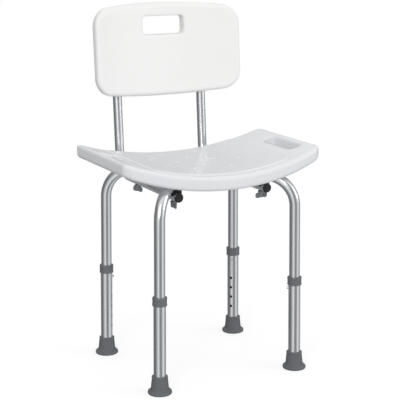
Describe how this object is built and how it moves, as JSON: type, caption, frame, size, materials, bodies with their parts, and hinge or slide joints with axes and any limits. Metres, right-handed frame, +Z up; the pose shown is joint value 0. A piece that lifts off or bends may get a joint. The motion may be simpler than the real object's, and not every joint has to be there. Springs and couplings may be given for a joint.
{
  "type": "shower stool with backrest",
  "caption": "Height-adjustable shower stool with a saddle-shaped moulded seat, hand slots, a removable moulded backrest and telescopic legs on rubber feet.",
  "frame": {"origin": "on the floor, under the middle of the whole object", "axes": "+Z up, -Y towards the front edge of the seat, +X across the seat; the object is symmetric across the YZ plane in its overall outline"},
  "size_m": [0.508, 0.4222, 0.8588],
  "materials": {
    "white_plastic": "fine pebble grain, blow-moulded polyethylene",
    "aluminium": "satin anodised",
    "steel": "zinc plated",
    "black_plastic": "moulded polypropylene",
    "grey_plastic": "moulded nylon",
    "grey_rubber": "matt moulded rubber",
    "brass": "turned"
  },
  "bodies": {
    "seat_and_frame": {"seat": "white_plastic", "backrest": "white_plastic", "leg_frame_a": "aluminium", "leg_frame_b": "aluminium", "cross_bolt": "steel", "cross_nut": "steel", "back_tube_left": "aluminium", "back_tube_right": "aluminium", "end_plug_left": "black_plastic", "end_plug_right": "black_plastic", "back_screw_left_lower": "steel", "back_screw_left_upper": "steel", "back_screw_right_lower": "steel", "back_screw_right_upper": "steel", "tube_saddle_front_left": "black_plastic", "tube_saddle_front_right": "black_plastic", "tube_saddle_rear_right": "black_plastic", "tube_saddle_rear_left": "black_plastic", "seat_insert_front_left": "brass", "seat_insert_front_right": "brass", "seat_insert_rear_right": "brass", "seat_insert_rear_left": "brass", "leaf_spring_front_left": "steel", "leaf_spring_front_right": "steel", "leaf_spring_rear_right": "steel", "leaf_spring_rear_left": "steel"},
    "lower_leg_front_left": {"lower_tube_front_left": "aluminium", "collar_front_left": "grey_plastic", "foot_front_left": "grey_rubber", "foot_washer_front_left": "steel"},
    "button_front_left": {"snap_button_front_left": "steel"},
    "knob_front_left": {"wing_knob_front_left": "grey_plastic", "knob_stud_front_left": "steel"},
    "lower_leg_front_right": {"lower_tube_front_right": "aluminium", "collar_front_right": "grey_plastic", "foot_front_right": "grey_rubber", "foot_washer_front_right": "steel"},
    "button_front_right": {"snap_button_front_right": "steel"},
    "knob_front_right": {"wing_knob_front_right": "grey_plastic", "knob_stud_front_right": "steel"},
    "lower_leg_rear_right": {"lower_tube_rear_right": "aluminium", "collar_rear_right": "grey_plastic", "foot_rear_right": "grey_rubber", "foot_washer_rear_right": "steel"},
    "button_rear_right": {"snap_button_rear_right": "steel"},
    "knob_rear_right": {"wing_knob_rear_right": "grey_plastic", "knob_stud_rear_right": "steel"},
    "lower_leg_rear_left": {"lower_tube_rear_left": "aluminium", "collar_rear_left": "grey_plastic", "foot_rear_left": "grey_rubber", "foot_washer_rear_left": "steel"},
    "button_rear_left": {"snap_button_rear_left": "steel"},
    "knob_rear_left": {"wing_knob_rear_left": "grey_plastic", "knob_stud_rear_left": "steel"}
  },
  "joints": [
    {"name": "leg_slide_front_left", "type": "slide", "parent": "seat_and_frame", "child": "lower_leg_front_left", "axis": [0.0095, 0.0081, 0.9999], "range_m": [0, 0.127], "deforming": ["snap_button_front_left"]},
    {"name": "leg_slide_front_right", "type": "slide", "parent": "seat_and_frame", "child": "lower_leg_front_right", "axis": [-0.0095, 0.0081, 0.9999], "range_m": [0, 0.127], "deforming": ["snap_button_front_right"]},
    {"name": "leg_slide_rear_right", "type": "slide", "parent": "seat_and_frame", "child": "lower_leg_rear_right", "axis": [-0.0095, -0.0081, 0.9999], "range_m": [0, 0.127], "deforming": ["snap_button_rear_right"]},
    {"name": "leg_slide_rear_left", "type": "slide", "parent": "seat_and_frame", "child": "lower_leg_rear_left", "axis": [0.0095, -0.0081, 0.9999], "range_m": [0, 0.127], "deforming": ["snap_button_rear_left"]},
    {"name": "button_press_front_left", "type": "slide", "parent": "seat_and_frame", "child": "button_front_left", "axis": [-0.7619, -0.6476, 0.0125], "range_m": [0, 0.0056], "stiffness_N_per_m": 400, "deforming": ["leaf_spring_front_left"]},
    {"name": "button_press_front_right", "type": "slide", "parent": "seat_and_frame", "child": "button_front_right", "axis": [0.7619, -0.6476, 0.0125], "range_m": [0, 0.0056], "stiffness_N_per_m": 400, "deforming": ["leaf_spring_front_right"]},
    {"name": "button_press_rear_right", "type": "slide", "parent": "seat_and_frame", "child": "button_rear_right", "axis": [0.7619, 0.6476, 0.0125], "range_m": [0, 0.0056], "stiffness_N_per_m": 400, "deforming": ["leaf_spring_rear_right"]},
    {"name": "button_press_rear_left", "type": "slide", "parent": "seat_and_frame", "child": "button_rear_left", "axis": [-0.7619, 0.6476, 0.0125], "range_m": [0, 0.0056], "stiffness_N_per_m": 400, "deforming": ["leaf_spring_rear_left"]},
    {"name": "knob_turn_front_left", "type": "hinge", "parent": "seat_and_frame", "child": "knob_front_left", "pos_m": [-0.115, -0.12801, 0.43], "axis": [0, 0, 1], "continuous": true},
    {"name": "knob_turn_front_right", "type": "hinge", "parent": "seat_and_frame", "child": "knob_front_right", "pos_m": [0.115, -0.12801, 0.43], "axis": [0, 0, 1], "continuous": true},
    {"name": "knob_turn_rear_right", "type": "hinge", "parent": "seat_and_frame", "child": "knob_rear_right", "pos_m": [0.115, 0.06749, 0.43], "axis": [0, 0, 1], "continuous": true},
    {"name": "knob_turn_rear_left", "type": "hinge", "parent": "seat_and_frame", "child": "knob_rear_left", "pos_m": [-0.115, 0.06749, 0.43], "axis": [0, 0, 1], "continuous": true}
  ]
}
